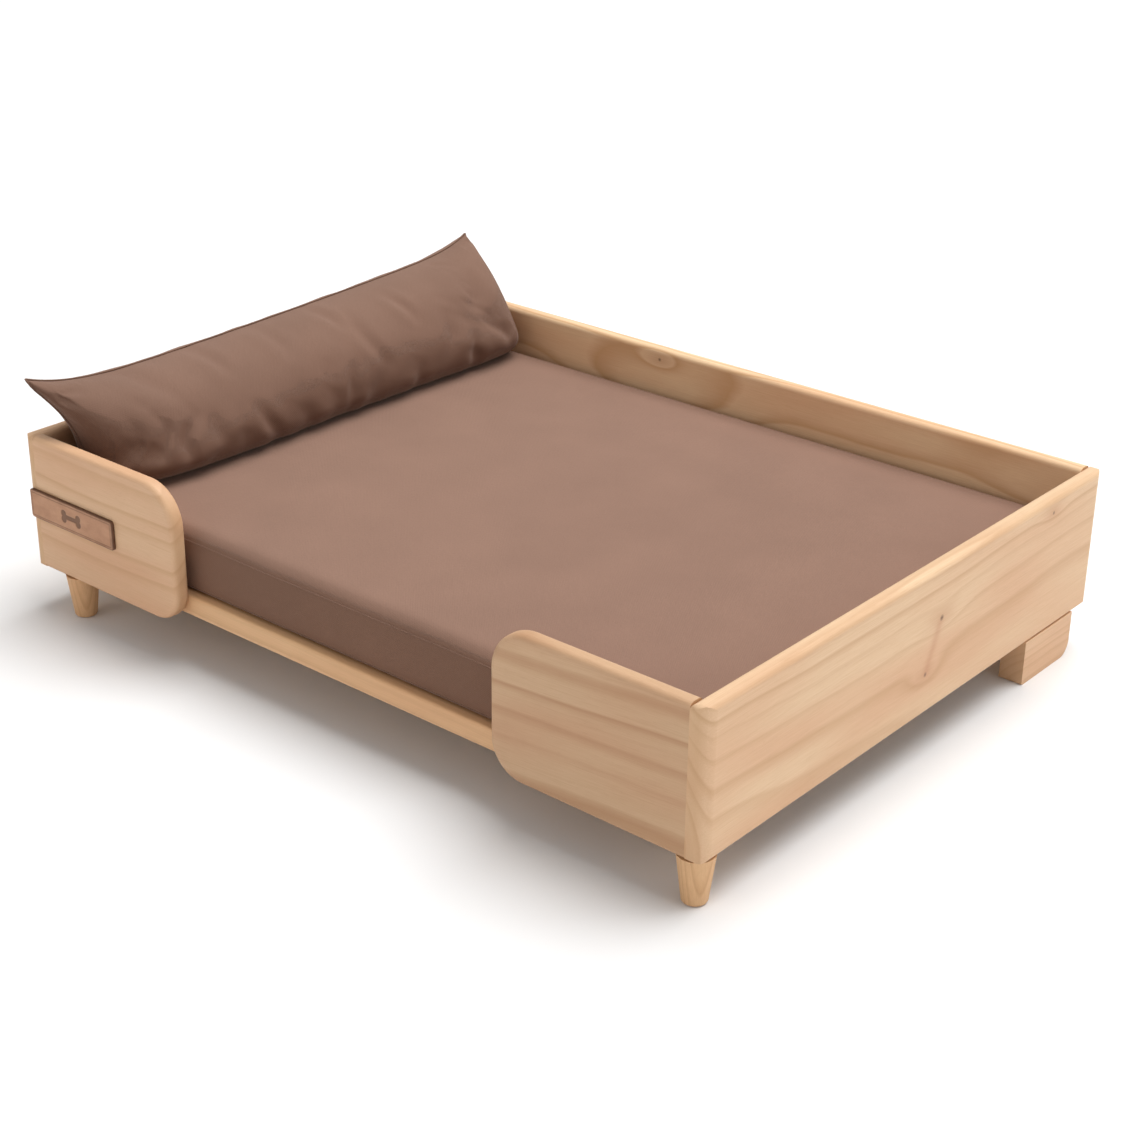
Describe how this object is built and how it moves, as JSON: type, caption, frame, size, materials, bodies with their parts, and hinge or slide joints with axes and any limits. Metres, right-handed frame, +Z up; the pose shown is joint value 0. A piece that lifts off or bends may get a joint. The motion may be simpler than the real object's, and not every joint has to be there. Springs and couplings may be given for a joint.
{
  "type": "dog bed with frame",
  "caption": "Low pine dog bed on short legs, with a step-in gap, a slatted base, a lift-off mattress and a bolster pillow.",
  "frame": {"origin": "on the floor, under the middle of the wooden frame", "axes": "+X along the length, to the right seen from the open front; +Y to the back; +Z up"},
  "size_m": [0.6096, 0.4597, 0.1871],
  "materials": {
    "pine_board": "satin",
    "pine_slat": "matte",
    "plywood": "matte",
    "leg_wood": "satin",
    "beech_dowel": "matte",
    "zinc_screw": "satin",
    "label_leather": "satin",
    "mattress_fabric": "matte",
    "foam": "matte",
    "bolster_fabric": "matte",
    "fibre_fill": "matte",
    "zip_tape": "matte",
    "zip_metal": "satin"
  },
  "bodies": {
    "frame": {"left_end_board": "pine_board", "right_end_board": "pine_board", "back_board": "pine_board", "front_left_board": "pine_board", "front_right_board": "pine_board", "front_rail": "pine_board", "back_rail": "pine_board", "slat_1": "pine_slat", "slat_2": "pine_slat", "slat_3": "pine_slat", "slat_4": "pine_slat", "slat_5": "pine_slat", "slat_6": "pine_slat", "slat_7": "pine_slat", "front_left_plate": "plywood", "front_right_plate": "plywood", "rear_left_plate": "plywood", "rear_right_plate": "plywood", "front_left_leg": "leg_wood", "front_right_leg": "leg_wood", "rear_left_leg": "leg_wood", "rear_right_leg": "leg_wood", "corner_dowels": "beech_dowel", "rail_dowels": "beech_dowel", "leg_dowels": "beech_dowel", "slat_screws": "zinc_screw", "plate_screws": "zinc_screw", "leg_screws": "zinc_screw", "leather_label": "label_leather"},
    "mattress": {"mattress_cover": "mattress_fabric", "mattress_foam": "foam", "mattress_zip_tape": "zip_tape"},
    "mattress_slider": {"mattress_zip_slider": "zip_metal"},
    "bolster": {"bolster_cover": "bolster_fabric", "bolster_filling": "fibre_fill", "bolster_zip_tape": "zip_tape"},
    "bolster_slider": {"bolster_zip_slider": "zip_metal"}
  },
  "joints": [
    {"name": "mattress_lift", "type": "slide", "parent": "frame", "child": "mattress", "axis": [0, 0, 1], "range_m": [0, 0.2]},
    {"name": "bolster_lift", "type": "slide", "parent": "mattress", "child": "bolster", "axis": [0, 0, 1], "range_m": [0, 0.15]},
    {"name": "mattress_zip", "type": "slide", "parent": "mattress", "child": "mattress_slider", "axis": [-1, 0, 0], "range_m": [0, 0.4]},
    {"name": "bolster_zip", "type": "slide", "parent": "bolster", "child": "bolster_slider", "axis": [0, 1, 0], "range_m": [0, 0.28]}
  ]
}
